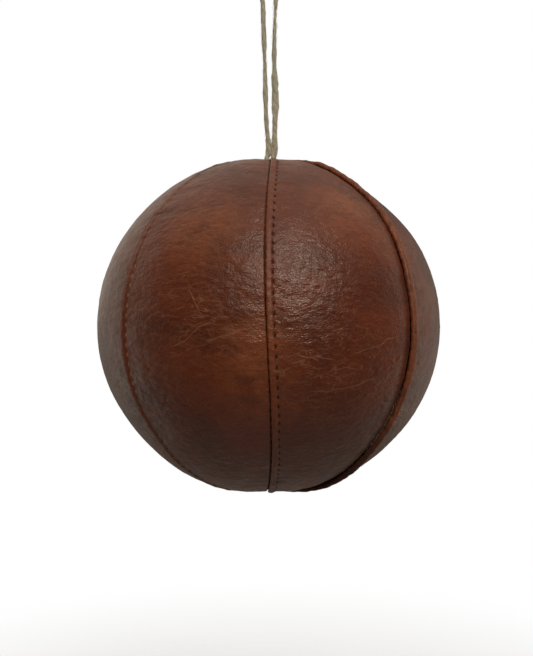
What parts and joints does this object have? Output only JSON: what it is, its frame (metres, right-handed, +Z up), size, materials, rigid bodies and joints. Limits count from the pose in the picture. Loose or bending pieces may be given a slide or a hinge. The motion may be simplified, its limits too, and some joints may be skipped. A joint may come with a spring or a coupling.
{
  "type": "hanging leather medicine ball",
  "caption": "Small stitched leather medicine ball of tapered gores with raised folded seams and topstitching, hung on a loop of jute twine that a bead anchors inside.",
  "frame": {"origin": "inner top of the twine loop, where a hook holds it", "axes": "+Z up along the ball's axis, -Y towards the front, where one seam faces the viewer, +X to the viewer's right"},
  "size_m": [0.152, 0.152, 0.245],
  "materials": {
    "panel_leather": "glossy waxed reddish-brown grain leather",
    "patch_leather": "unfinished flesh side",
    "topstitch_thread": "waxed dark brown thread",
    "seam_thread": "waxed dark brown thread",
    "lining_cloth": "plain unbleached cotton",
    "rag_stuffing": "packed textile scraps",
    "jute_twine": "rough fibrous jute",
    "bead_wood": "plain turned wood"
  },
  "bodies": {
    "twine": {"twine_loop": "jute_twine"},
    "anchor": {"twine_neck": "jute_twine", "anchor_bead": "bead_wood", "twine_knot": "jute_twine"},
    "ball": {"panel_1": "panel_leather", "panel_2": "panel_leather", "panel_3": "panel_leather", "panel_4": "panel_leather", "panel_5": "panel_leather", "panel_6": "panel_leather", "panel_7": "panel_leather", "panel_8": "panel_leather", "topstitch_1": "topstitch_thread", "topstitch_2": "topstitch_thread", "topstitch_3": "topstitch_thread", "topstitch_4": "topstitch_thread", "topstitch_5": "topstitch_thread", "topstitch_6": "topstitch_thread", "topstitch_7": "topstitch_thread", "topstitch_8": "topstitch_thread", "seam_thread_1": "seam_thread", "seam_thread_2": "seam_thread", "seam_thread_3": "seam_thread", "seam_thread_4": "seam_thread", "seam_thread_5": "seam_thread", "seam_thread_6": "seam_thread", "seam_thread_7": "seam_thread", "seam_thread_8": "seam_thread", "top_patch": "patch_leather", "bottom_patch": "patch_leather", "lining_bag": "lining_cloth", "stuffing": "rag_stuffing"}
  },
  "joints": [
    {"name": "ball_swing", "type": "hinge", "parent": "twine", "child": "anchor", "pos_m": [0, 0, -0.0945], "axis": [1, 0, 0], "range_deg": [-45, 45]},
    {"name": "ball_turn", "type": "hinge", "parent": "anchor", "child": "ball", "pos_m": [0, 0, -0.0945], "axis": [0, 0, 1], "continuous": true}
  ]
}
